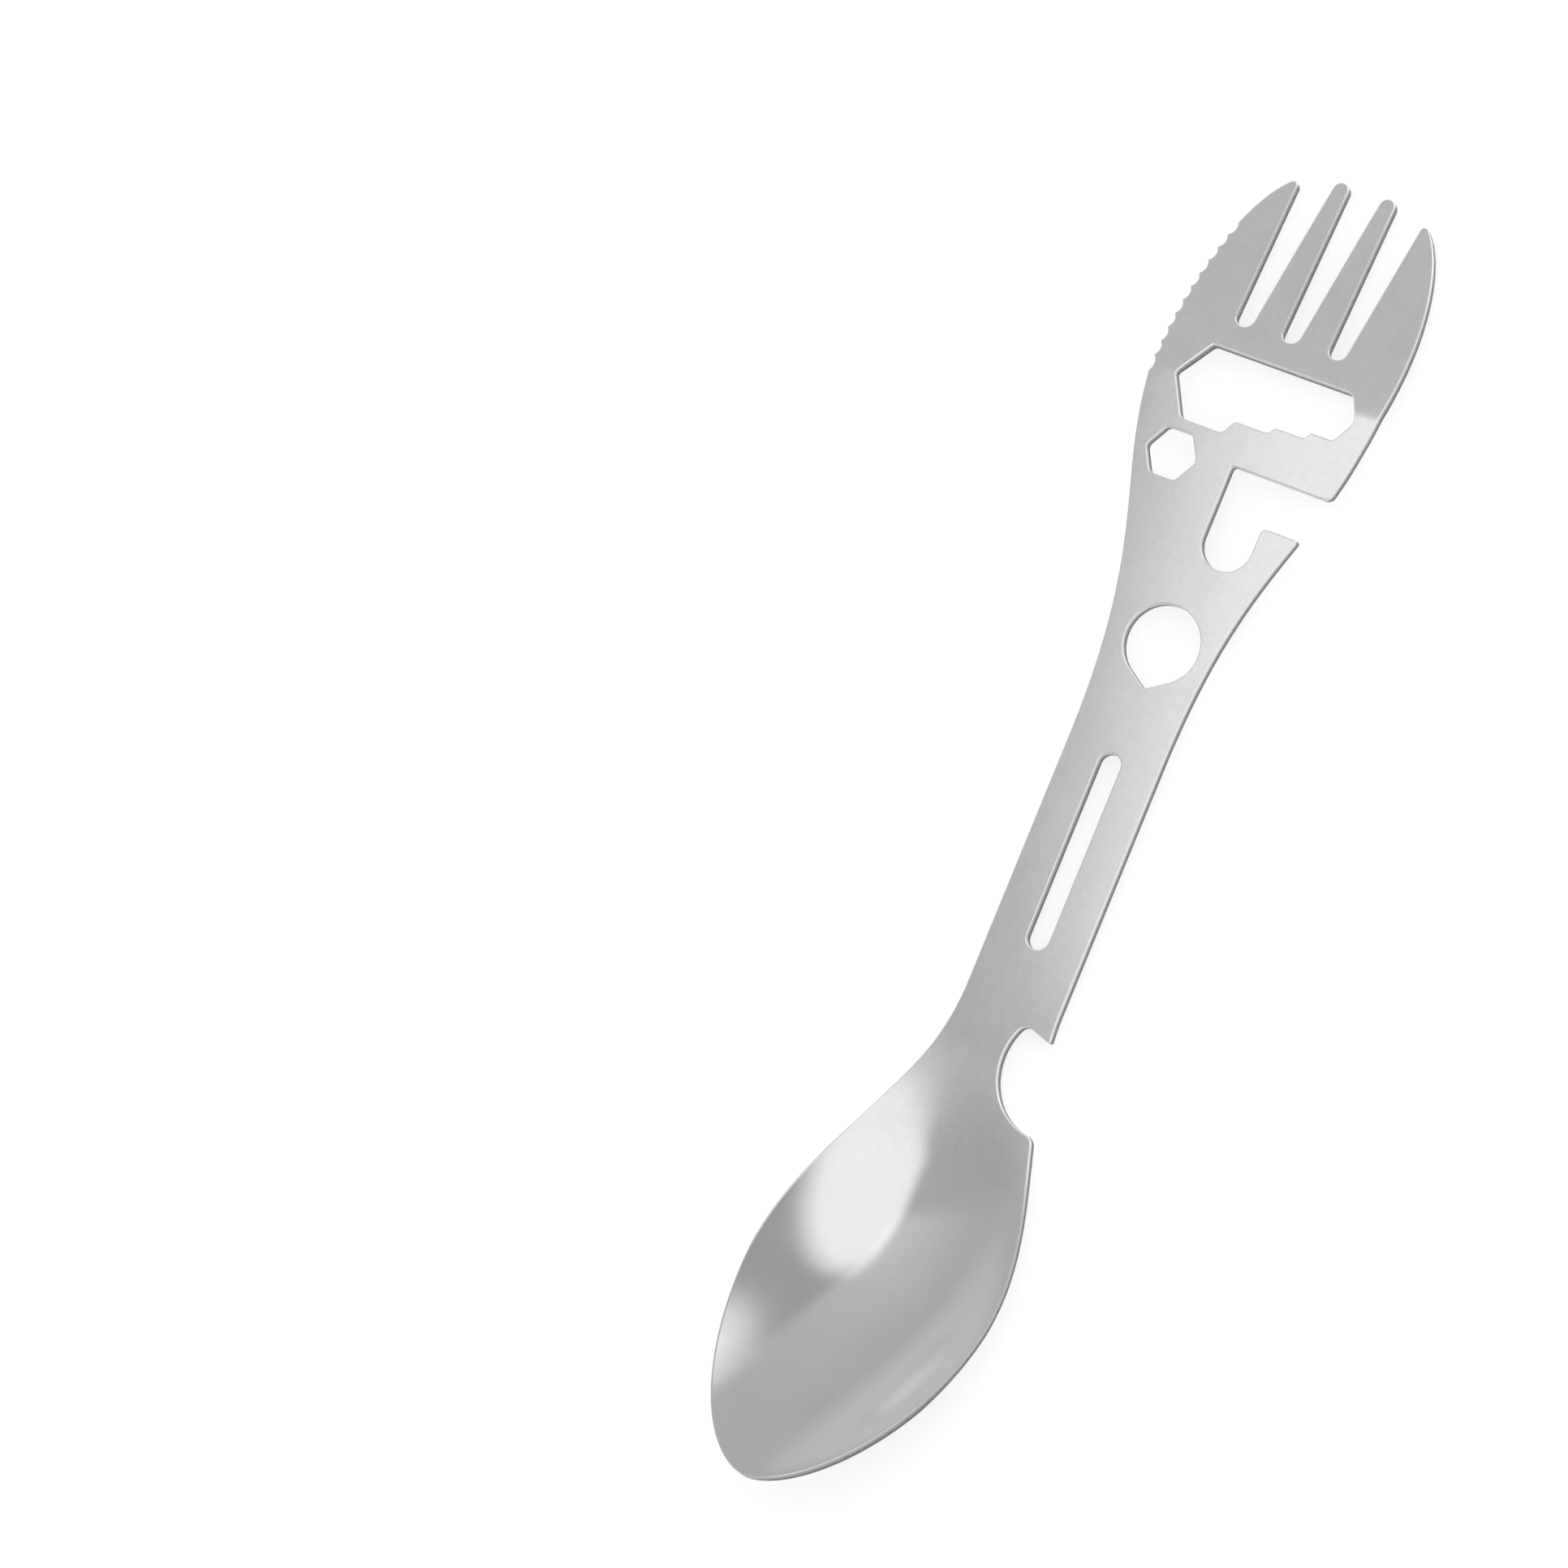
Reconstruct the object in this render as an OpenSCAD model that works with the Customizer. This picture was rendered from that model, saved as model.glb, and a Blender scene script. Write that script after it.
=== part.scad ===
// Camping spork: a spoon bowl, a slotted handle with punched tools, and a four-tine fork.
// One sheet of steel is punched flat, bent down at the fork and pressed into a bowl at the spoon.
// In the flat blank X runs along the handle from the slot's middle towards the fork,
// Y runs across it towards the serrated edge, and Z is up, out of the bowl.
// The finished spork lies on a table, on the bowl's underside and the inner tines' tips.

/* [Sheet] */
// Thickness of the steel sheet
sheet_t = 1.5; // [1:0.1:2.5]

/* [Handle] */
// Width of the straight handle
handle_w = 13.8; // [12:0.2:17]
// From the slot's middle to where the handle starts to widen into the spoon
spoon_shoulder = 20.5; // [18:0.5:24]
// From the slot's middle to where the handle starts to widen into the fork
fork_shoulder = 14; // [12:0.5:18]
// Length of the handle's slot, end to end
slot_l = 27.4; // [20:0.2:32]
// Width of the handle's slot
slot_w = 3.2; // [2:0.1:5]

/* [Spoon bowl] */
// Width of the bowl at its widest
bowl_w = 35; // [30:0.5:40]
// From the spoon shoulder to the bowl's tip
bowl_l = 72; // [66:0.5:80]
// From the spoon shoulder to the bowl's widest station
bowl_widest = 41.5; // [36:0.5:46]
// How far the bowl's middle lies below its rim
bowl_depth = 7; // [4:0.25:9]
// How far the rim has risen above the handle at the bowl's tip
bowl_rise = 19.4; // [12:0.2:24]
// How sharply the rim turns up towards the tip
rise_power = 1.44; // [1.2:0.02:2]
// Roundness of the bowl's front, where 2 is an ellipse
front_power = 1.78; // [1.6:0.02:2.2]
// Length over which the neck turns into the bowl
dish_run = 20; // [14:0.5:28]

/* [Can opener] */
// Radius of the notch beside the neck
notch_r = 8.8; // [7:0.1:9.2]
// From the spoon shoulder to the notch's centre
notch_from_shoulder = 7.4; // [7:0.1:8.5]
// From the handle's axis to the notch's centre
notch_off = 10.4; // [9.5:0.1:11]
// From the spoon shoulder to where the claw's face would meet the axis
claw_from_shoulder = 1.7; // [1:0.1:3]
// Lean of the claw over the notch, in degrees
claw_lean = 18; // [5:1:30]

/* [Key ring hole] */
// Diameter of the round hole
ring_d = 10.6; // [8:0.1:11.4]
// From the fork shoulder to the hole's centre
ring_from_shoulder = 15.2; // [13:0.1:17]
// How far the pointed corner stands out from the round hole
ring_point = 1; // [0.4:0.1:1.6]

/* [Bottle opener] */
// Width of the channel behind the hook
channel_w = 7.2; // [5:0.1:8]
// Metal left between the key ring hole and the channel's round end
channel_web = 6.3; // [3:0.1:8]
// From the channel's round end to its flat end
channel_l = 13.4; // [11:0.1:14.5]
// Width of the mouth that opens the channel to the edge
mouth_w = 6.2; // [5:0.1:8]

/* [Hex tools] */
// Across flats of the driver bits
bit_size = 6.35; // [5:0.05:7]
// Play between a bit and its hole
bit_play = 0.05; // [0:0.05:0.3]
// From the plate's serrated side in to the bit hole's centre
bit_off = 5.5; // [4.8:0.1:7]
// From the channel's flat end back to the bit hole's centre
bit_back = 1.2; // [0:0.1:3]
// Nut sizes that the stepped window takes, largest first
nut_sizes = [10, 8, 7, 6]; // [5:0.5:12]
// Play between a nut and the window
nut_play = 0.6; // [0.1:0.05:0.8]
// From the channel's flat end to the window's straight edge
window_from_channel = 14.2; // [13:0.1:16]
// From the handle's axis to the end of the largest nut's flat
window_end = 9.3; // [8.5:0.1:10.5]
// How far the window's narrow end stops short of a whole nut
window_trim = 0.6; // [0:0.1:1.2]
// Least metal between the window's narrow end and the fork's edge
window_wall = 1.2; // [0.8:0.1:2.5]

/* [Fork] */
// Width of the fork at its widest
fork_w = 32.8; // [30:0.2:36]
// From the fork shoulder to the fork's widest station
fork_widest = 55; // [50:0.5:60]
// From the window's straight edge back to the bend line
bend_back = 6.6; // [5:0.1:7]
// How far the fork is bent down, in degrees
fork_bend = 12; // [0:0.5:20]
// From the window's straight edge to the roots of the tine gaps
gap_root = 3.6; // [2.5:0.1:5]
// Length of a tine gap along the fork
gap_l = 23.2; // [18:0.1:26]
// Distance between the middles of the gaps
gap_pitch = 7; // [6.4:0.1:7.6]
// Width of a gap at its root
gap_w_root = 2.5; // [1.5:0.1:3]
// Width of a gap at the tips
gap_w_tip = 4.9; // [3.5:0.1:5.2]
// How far the outer tines stop short of the inner ones
outer_short = 2; // [0.5:0.1:3]
// Radius of the outer tines' points
point_r = 0.6; // [0.3:0.05:1]

/* [Serrated edge] */
// Number of scallops
tooth_count = 11; // [6:1:12]
// Distance between the teeth
tooth_pitch = 2.1; // [1.5:0.1:2.3]
// Depth of a scallop
tooth_depth = 0.4; // [0.2:0.05:0.6]
// From the bend line to the middle of the first scallop
tooth_start = 1.4; // [1.2:0.1:3]

/* [Hidden] */
$fn = 64;
steel = "silver";
curve_steps = 20;
bowl_rings = 18;
neck_rings = 14;
bowl_columns = 20;
over = 1;
half_t = sheet_t / 2;

// Stations along the flat blank
neck_x = -spoon_shoulder;
tip_x = neck_x - bowl_l;
wide_x = neck_x - bowl_widest;
notch_x = neck_x - notch_from_shoulder;
claw_x = neck_x - claw_from_shoulder;
press_x = claw_x - 0.55 * handle_w * tan(claw_lean);
bowl_x = notch_x - notch_r;
ring_x = fork_shoulder + ring_from_shoulder;
ring_tip_x = ring_x - ring_d / 2 - ring_point;
plate_x = (slot_l / 2 + ring_tip_x) / 2;
channel_x = ring_x + ring_d / 2 + channel_web;
channel_end_x = channel_x + channel_l;
window_x = channel_end_x + window_from_channel;
bend_x = window_x - bend_back;
gap_x = window_x + gap_root;
inner_tip_x = gap_x + gap_l;
outer_tip_x = inner_tip_x - outer_short;
fork_wide_x = fork_shoulder + fork_widest;

// A cubic curve between two points, drawn out by two handles
function curve_point(p, u) =
    pow(1 - u, 3) * p[0] + 3 * u * pow(1 - u, 2) * p[1] + 3 * u * u * (1 - u) * p[2] + pow(u, 3) * p[3];
function curve(p) = [for (i = [0 : curve_steps]) curve_point(p, i / curve_steps)];
function smooth(u) = let (c = max(0, min(1, u))) c * c * (3 - 2 * c);

// Half the bowl's width: a cosine blend from the handle to the widest station, then a rounded front
function half_w(x) = x < wide_x
    ? bowl_w / 2 * pow(1 - pow((wide_x - x) / (wide_x - tip_x), front_power), 1 / front_power)
    : handle_w / 2 + (bowl_w - handle_w) / 2 * (1 + cos(180 * (x - wide_x) / bowl_widest)) / 2;

// Height of the pressed sheet's upper face, where share runs from -1 to 1 across the bowl
function rim_z(x) = bowl_rise * pow(max(0, press_x - x) / (press_x - tip_x), rise_power);
function dish(x) = bowl_depth * pow(2 * half_w(x) / bowl_w, 2) * smooth((press_x - x) / dish_run);
function top_z(x, share) = half_t + rim_z(x) - dish(x) * (1 - share * share);

// The pressed part's lower edge, on the notch's arc beside the neck
function notch_y(x) = sqrt(max(0, notch_r * notch_r - pow(x - notch_x, 2))) - notch_off;
function low_share(x, notched) = notched ? max(-1, notch_y(x) / half_w(x)) : -1;

// Stations of the pressed part, closer together where its edge turns
front_end = 88;
notch_start = asin((notch_x - press_x) / notch_r);
neck_stations = [for (i = [0 : neck_rings])
    notch_x - notch_r * sin(notch_start + (90 - notch_start) * i / neck_rings)];
bowl_stations = concat(
    [for (i = [0 : bowl_rings]) bowl_x + (wide_x - bowl_x) * i / bowl_rings],
    [for (i = [1 : bowl_rings])
        wide_x - (wide_x - tip_x) * pow(sin(front_end * i / bowl_rings), 2 / front_power)]);

// The tines, between gaps that widen towards the tips
gap_slope = (gap_w_tip - gap_w_root) / 2 / gap_l;
function gap_half(x) = gap_w_root / 2 + gap_slope * (x - gap_x);
root_x = gap_x + gap_w_root / 2;
tine_r = (gap_pitch / 2 - gap_half(inner_tip_x)) / (1 - gap_slope);
tine_x = inner_tip_x - tine_r;
point_x = outer_tip_x - point_r;
point_y = gap_pitch + gap_half(point_x) + point_r;

// One side of the flat blank, from where the pressing starts to an outer tine's point
blade_l = outer_tip_x - fork_wide_x;
flare = curve([[fork_shoulder, handle_w / 2], [fork_shoulder + 0.56 * fork_widest, handle_w / 2],
    [fork_shoulder + 0.62 * fork_widest, fork_w / 2], [fork_wide_x, fork_w / 2]]);
blade = curve([[fork_wide_x, fork_w / 2], [fork_wide_x + 0.45 * blade_l, fork_w / 2],
    [fork_wide_x + 0.84 * blade_l, 0.86 * fork_w / 2], [point_x, point_y + point_r]]);
shoulder = [for (i = [0 : 4]) let (x = press_x + (neck_x - press_x) * i / 4) [x, half_w(x)]];
edge = concat(shoulder, flare, [for (i = [1 : curve_steps]) blade[i]]);
tip_side = [[point_x, point_y - point_r], [tine_x, gap_pitch]];
function mirrored(points) = [for (i = [len(points) - 1 : -1 : 0]) [points[i][0], -points[i][1]]];

// Serrations along the edge
scallop_r = (pow(0.45 * tooth_pitch, 2) + pow(tooth_depth, 2)) / (2 * tooth_depth);
function edge_lean(x) = atan(lookup(x + 0.5, edge) - lookup(x - 0.5, edge));

// The stepped window: half a nut at each end, and one flat for each nut size that the fork's width takes
function opening(i) = nut_sizes[i] + nut_play;
function nut_side(i) = opening(i) * tan(30);
function flat_y(i) = i == 0
    ? window_end
    : flat_y(i - 1) - nut_side(i - 1) - (opening(i - 1) - opening(i)) * tan(30);
function row_end(i) = flat_y(i) - nut_side(i) + window_trim;
function row_point(i) = row_end(i) - nut_side(i) / 2;
held_nuts = [for (i = [0 : len(nut_sizes) - 1]) if (row_point(i) - window_wall > -fork_w / 2) i];
last_nut = len(held_nuts) - 1;
window_low = row_end(last_nut);
window_points = concat(
    [[window_x, window_end], [window_x - opening(0) / 2, window_end + nut_side(0) / 2]],
    [for (i = [0 : last_nut], end = [0, 1])
        [window_x - opening(i), i == last_nut && end == 1 ? window_low : flat_y(i) - end * nut_side(i)]],
    [[window_x - opening(last_nut) / 2, row_point(last_nut)], [window_x, window_low]]);

// How the spork lies: tipped until the bowl's underside and the inner tines' tips are level
reach = inner_tip_x - bend_x;
low_x = bend_x + reach * cos(fork_bend) - half_t * sin(fork_bend);
low_z = -reach * sin(fork_bend) - half_t * cos(fork_bend);
rest_tilt = min([for (x = bowl_stations) atan2(top_z(x, 0) - sheet_t - low_z, low_x - x)]);
rest_z = low_x * sin(rest_tilt) + low_z * cos(rest_tilt);
fork_end_x = (low_x + sheet_t * sin(fork_bend)) * cos(rest_tilt)
    - (low_z + sheet_t * cos(fork_bend)) * sin(rest_tilt);
spoon_end_x = tip_x * cos(rest_tilt) - (half_t + bowl_rise) * sin(rest_tilt);

// Moves a piece from the blank's frame to where it lies
module lying() {
    translate([-(spoon_end_x + fork_end_x) / 2, 0, -rest_z])
        rotate([0, -rest_tilt, 0])
            children();
}

// A sheet pressed through the given stations, its thickness measured upright
module pressed_sheet(stations, notched) {
    columns = bowl_columns + 1;
    ring = 2 * columns;
    spans = len(stations) - 2;
    last = (len(stations) - 1) * ring;
    points = [for (x = stations, drop = [0, sheet_t], j = [0 : bowl_columns])
        let (low = low_share(x, notched), share = low + (1 - low) * j / bowl_columns)
            [x, share * half_w(x), top_z(x, share) - drop]];
    top = [for (i = [0 : spans], j = [0 : bowl_columns - 1])
        let (a = i * ring + j, b = a + ring)
            each [[a, a + 1, b], [a + 1, b + 1, b]]];
    bottom = [for (i = [0 : spans], j = [0 : bowl_columns - 1])
        let (a = i * ring + columns + j, b = a + ring)
            each [[a, b, a + 1], [a + 1, b, b + 1]]];
    sides = [for (i = [0 : spans])
        let (a = i * ring, b = a + ring, c = a + bowl_columns, d = c + ring)
            each [[a, b, a + columns], [b, b + columns, a + columns],
                [c, c + columns, d], [d, c + columns, d + columns]]];
    back = [for (j = [0 : bowl_columns - 1])
        let (b = j + columns)
            each [[j, b, j + 1], [j + 1, b, b + 1]]];
    front = [for (j = [last : last + bowl_columns - 1])
        let (b = j + columns)
            each [[j, j + 1, b], [j + 1, b + 1, b]]];
    polyhedron(points, concat(top, bottom, sides, back, front));
}

// The part of the flat blank between two stations, without its holes
module blank(from_x, to_x) {
    intersection() {
        union() {
            linear_extrude(sheet_t, center = true)
                polygon(concat(edge, tip_side, mirrored(tip_side), mirrored(edge)));
            for (side = [-1, 1]) {
                translate([tine_x, side * gap_pitch / 2, -half_t]) cylinder(r = tine_r, h = sheet_t);
                translate([point_x, side * point_y, -half_t]) cylinder(r = point_r, h = sheet_t);
            }
        }
        translate([from_x, -fork_w, -sheet_t]) cube([to_x - from_x, 2 * fork_w, 2 * sheet_t]);
    }
}

// A punch with its shape drawn on the blank
module punch() {
    translate([0, 0, -2 * sheet_t]) linear_extrude(4 * sheet_t) children();
}

module slot_punch() {
    half_l = (slot_l - slot_w) / 2;
    punch() square([2 * half_l, slot_w], center = true);
    for (end = [-1, 1]) translate([end * half_l, 0]) punch() circle(slot_w / 2);
}

// The round hole, with its pointed corner between two tangents
module ring_punch() {
    lean = acos(ring_d / 2 / (ring_x - ring_tip_x));
    touch = [ring_x - ring_d / 2 * cos(lean), ring_d / 2 * sin(lean)];
    translate([ring_x, 0]) punch() circle(ring_d / 2);
    punch() polygon([[ring_tip_x, 0], [touch[0], -touch[1]], [ring_x, 0], touch]);
}

// The bottle opener's channel along the axis, and its mouth through the edge
module channel_punch() {
    r = channel_w / 2;
    translate([channel_x + r, -r]) punch() circle(r);
    translate([channel_x + r, -channel_w]) punch() square([channel_l - r, channel_w]);
    translate([channel_end_x - mouth_w, -fork_w]) punch() square([mouth_w, fork_w - r]);
}

module bit_punch() {
    across_corners = (bit_size + bit_play) / cos(30);
    bit_x = channel_end_x - bit_back;
    translate([bit_x, lookup(bit_x, edge) - bit_off])
        punch()
            rotate(30) circle(across_corners / 2, $fn = 6);
}

module window_punch() {
    punch() polygon(window_points);
}

// Gaps between the tines, each with a round root
module gap_punch() {
    far_x = inner_tip_x + over;
    for (i = [-1 : 1]) translate([0, i * gap_pitch]) {
        translate([root_x, 0]) punch() circle(gap_half(root_x));
        punch() polygon([[root_x, -gap_half(root_x)], [far_x, -gap_half(far_x)],
            [far_x, gap_half(far_x)], [root_x, gap_half(root_x)]]);
    }
}

module scallop_punch() {
    for (i = [0 : tooth_count - 1]) {
        x = bend_x + tooth_start + i * tooth_pitch;
        translate([x, lookup(x, edge)])
            rotate(edge_lean(x))
                translate([0, scallop_r - tooth_depth])
                    punch()
                        circle(scallop_r);
    }
}

// The round can opener notch, stopped by the leaning face of its claw
module notch_punch() {
    intersection() {
        translate([notch_x, -notch_off, -sheet_t]) cylinder(r = notch_r, h = 2 * sheet_t);
        translate([claw_x, 0, -sheet_t])
            rotate([0, 0, -claw_lean])
                translate([-3 * notch_r, -3 * notch_r, 0])
                    cube([3 * notch_r, 4 * notch_r, 2 * sheet_t]);
    }
}

// Everything on one side of the bend's mitre plane, which leans by the given angle
module mitre(lean, side) {
    translate([bend_x, 0, 0])
        rotate([0, lean, 0])
            translate([side > 0 ? 0 : -fork_w, -fork_w, -fork_w])
                cube([fork_w, 2 * fork_w, 2 * fork_w]);
}

module spoon_bowl() {
    color(steel) lying() pressed_sheet(bowl_stations, false);
}

module neck() {
    color(steel) lying() pressed_sheet(neck_stations, true);
}

module handle() {
    color(steel) lying() difference() {
        blank(press_x, plate_x);
        notch_punch();
        slot_punch();
    }
}

module tool_plate() {
    color(steel) lying() difference() {
        blank(plate_x, bend_x + over);
        ring_punch();
        channel_punch();
        bit_punch();
        window_punch();
        mitre(fork_bend / 2, 1);
    }
}

module fork() {
    color(steel) lying()
        translate([bend_x, 0, 0])
            rotate([0, fork_bend, 0])
                translate([-bend_x, 0, 0])
                    difference() {
                        blank(bend_x - over, inner_tip_x + over);
                        window_punch();
                        gap_punch();
                        scallop_punch();
                        mitre(-fork_bend / 2, -1);
                    }
}

spoon_bowl();
neck();
handle();
tool_plate();
fork();
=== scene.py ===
import math

import bpy
import numpy as np
from mathutils import Matrix, Vector, geometry


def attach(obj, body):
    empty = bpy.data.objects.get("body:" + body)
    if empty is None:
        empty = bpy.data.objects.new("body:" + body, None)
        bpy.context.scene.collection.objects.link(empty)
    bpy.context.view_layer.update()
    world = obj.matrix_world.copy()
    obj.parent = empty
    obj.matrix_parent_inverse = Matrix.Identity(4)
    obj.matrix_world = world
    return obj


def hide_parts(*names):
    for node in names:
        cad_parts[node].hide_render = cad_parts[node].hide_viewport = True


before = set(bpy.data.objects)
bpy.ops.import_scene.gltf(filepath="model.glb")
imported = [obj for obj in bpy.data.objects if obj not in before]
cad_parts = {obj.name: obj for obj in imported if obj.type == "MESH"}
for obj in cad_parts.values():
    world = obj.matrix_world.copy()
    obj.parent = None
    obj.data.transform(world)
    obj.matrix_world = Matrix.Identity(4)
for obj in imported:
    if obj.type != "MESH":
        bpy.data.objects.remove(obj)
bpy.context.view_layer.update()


# HANDLE
# The straight strip in the middle of the spork, with a long slot. It is 1.5 mm stainless sheet,
# punched in one stroke with the rest of the blank and then tumbled, which eases the cut edges.
# Sizes are in mm on the flat blank: X runs to the fork, Y to the serrated side, Z up.

sheet_t = 1.5
handle_w = 13.8
slot_l, slot_w = 27.4, 3.2
claw_from, claw_lean = -22.2, 18.0
notch_centre, notch_r = (-27.9, -10.4), 8.8
claw_root_ease, claw_tip_ease = 1.1, 0.62
press_x = claw_from - 0.55 * handle_w * math.tan(math.radians(claw_lean))
plate_x = 18.3
fork_shoulder, fork_wide_x, fork_w = 14.0, 69.0, 32.8
spoon_shoulder, bowl_wide_x, bowl_tip_x, bowl_w = -20.5, -62.0, -91.7, 35.0
bowl_front_power = 1.75
flat_edge_r, bowl_edge_r, edge_change = 0.2, 0.25, 16.0
edge_turns = 3
rest_tilt = math.radians(2.44601)
rest_lay = np.array(((math.cos(rest_tilt), 0, -math.sin(rest_tilt)), (0, 1, 0),
                     (math.sin(rest_tilt), 0, math.cos(rest_tilt))))
rest_shift = np.array((-0.76461, 0.0, 3.64572))


def arc(centre, radius, start, end, step=0.35):
    """Points on an arc, from one angle in degrees to another."""
    count = max(6, math.ceil(math.radians(abs(end - start)) * radius / step))
    turn = np.radians(np.linspace(start, end, count + 1))
    return np.column_stack((centre[0] + radius * np.cos(turn), centre[1] + radius * np.sin(turn)))


def straight(start, end, step=0.7):
    """Points on a line, both ends among them."""
    start, end = np.asarray(start, float), np.asarray(end, float)
    count = max(1, math.ceil(np.linalg.norm(end - start) / step))
    return start + (end - start) * np.linspace(0, 1, count + 1)[:, None]


def drawn(p0, p1, p2, p3, count=160):
    """Points on a cubic curve between two points, drawn out by two handles."""
    u = np.linspace(0, 1, count + 1)[:, None]
    p0, p1, p2, p3 = (np.asarray(p, float) for p in (p0, p1, p2, p3))
    return (1 - u) ** 3 * p0 + 3 * u * (1 - u) ** 2 * p1 + 3 * u * u * (1 - u) * p2 + u ** 3 * p3


def trimmed(points, length):
    """A run of points without its last stretch."""
    gone = np.concatenate(([0.0], np.cumsum(np.linalg.norm(np.diff(points, axis=0), axis=1))))
    stop = gone[-1] - length
    end = [np.interp(stop, gone, points[:, k]) for k in (0, 1)]
    return np.vstack((points[gone < stop - 1e-6], end))


def joined(first, *rest):
    """Runs joined end to end. The number between two says how far back their corner is eased."""
    points = first
    for ease, following in zip(rest[::2], rest[1::2]):
        if ease == 0:
            points = np.vstack((points, following[1:]))
            continue
        corner = following[0]
        points, following = trimmed(points, ease), trimmed(following[::-1], ease)[::-1]
        u = np.linspace(0, 1, 8)[1:-1, None]
        turn = (1 - u) ** 2 * points[-1] + 2 * u * (1 - u) * corner + u * u * following[0]
        points = np.vstack((points, turn, following))
    return points


def angled(corners, eases):
    """A run of straight sides, each inner corner eased by its own length."""
    sides = [straight(a, b) for a, b in zip(corners, corners[1:])]
    return joined(sides[0], *(step for pair in zip(eases, sides[1:]) for step in pair))


flare_pulls = 44.8, 48.1
flare = drawn((fork_shoulder, handle_w / 2), (flare_pulls[0], handle_w / 2),
              (flare_pulls[1], fork_w / 2), (fork_wide_x, fork_w / 2))


def side_y(x):
    """Half the blank's width, from the bowl's tip to the fork's widest station."""
    x = np.asarray(x, float)
    back = (x - bowl_wide_x) / (spoon_shoulder - bowl_wide_x)
    spoon = handle_w / 2 + (bowl_w - handle_w) / 4 * (1 + np.cos(np.pi * np.clip(back, 0, 1)))
    ahead = np.clip((bowl_wide_x - x) / (bowl_wide_x - bowl_tip_x), 0, 1)
    front = bowl_w / 2 * (1 - ahead ** bowl_front_power) ** (1 / bowl_front_power)
    plate = np.interp(x, flare[:, 0], flare[:, 1])
    return np.where(x < bowl_wide_x, front, np.where(x < spoon_shoulder, spoon, plate))


def side(start, end, sign, step=0.7):
    """The blank's side between two stations, at +Y or -Y."""
    x = straight((start, 0), (end, 0), step)[:, 0]
    return np.column_stack((x, sign * side_y(x)))


def inside(points, rings):
    """Which points lie on metal, by counting the outlines crossed on the way out."""
    crossed = np.zeros(len(points), bool)
    for ring in rings:
        for (ax, ay), (bx, by) in zip(ring, np.roll(ring, -1, axis=0)):
            span = (ay > points[:, 1]) != (by > points[:, 1])
            if span.any():
                meets_x = ax + (points[:, 1] - ay) * (bx - ax) / (by - ay if by != ay else 1)
                crossed ^= span & (points[:, 0] < meets_x)
    return crossed


def as_punched(x, y, h):
    """The flat blank: x and y on the sheet, h above its middle."""
    return np.column_stack((x, y, h))


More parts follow.
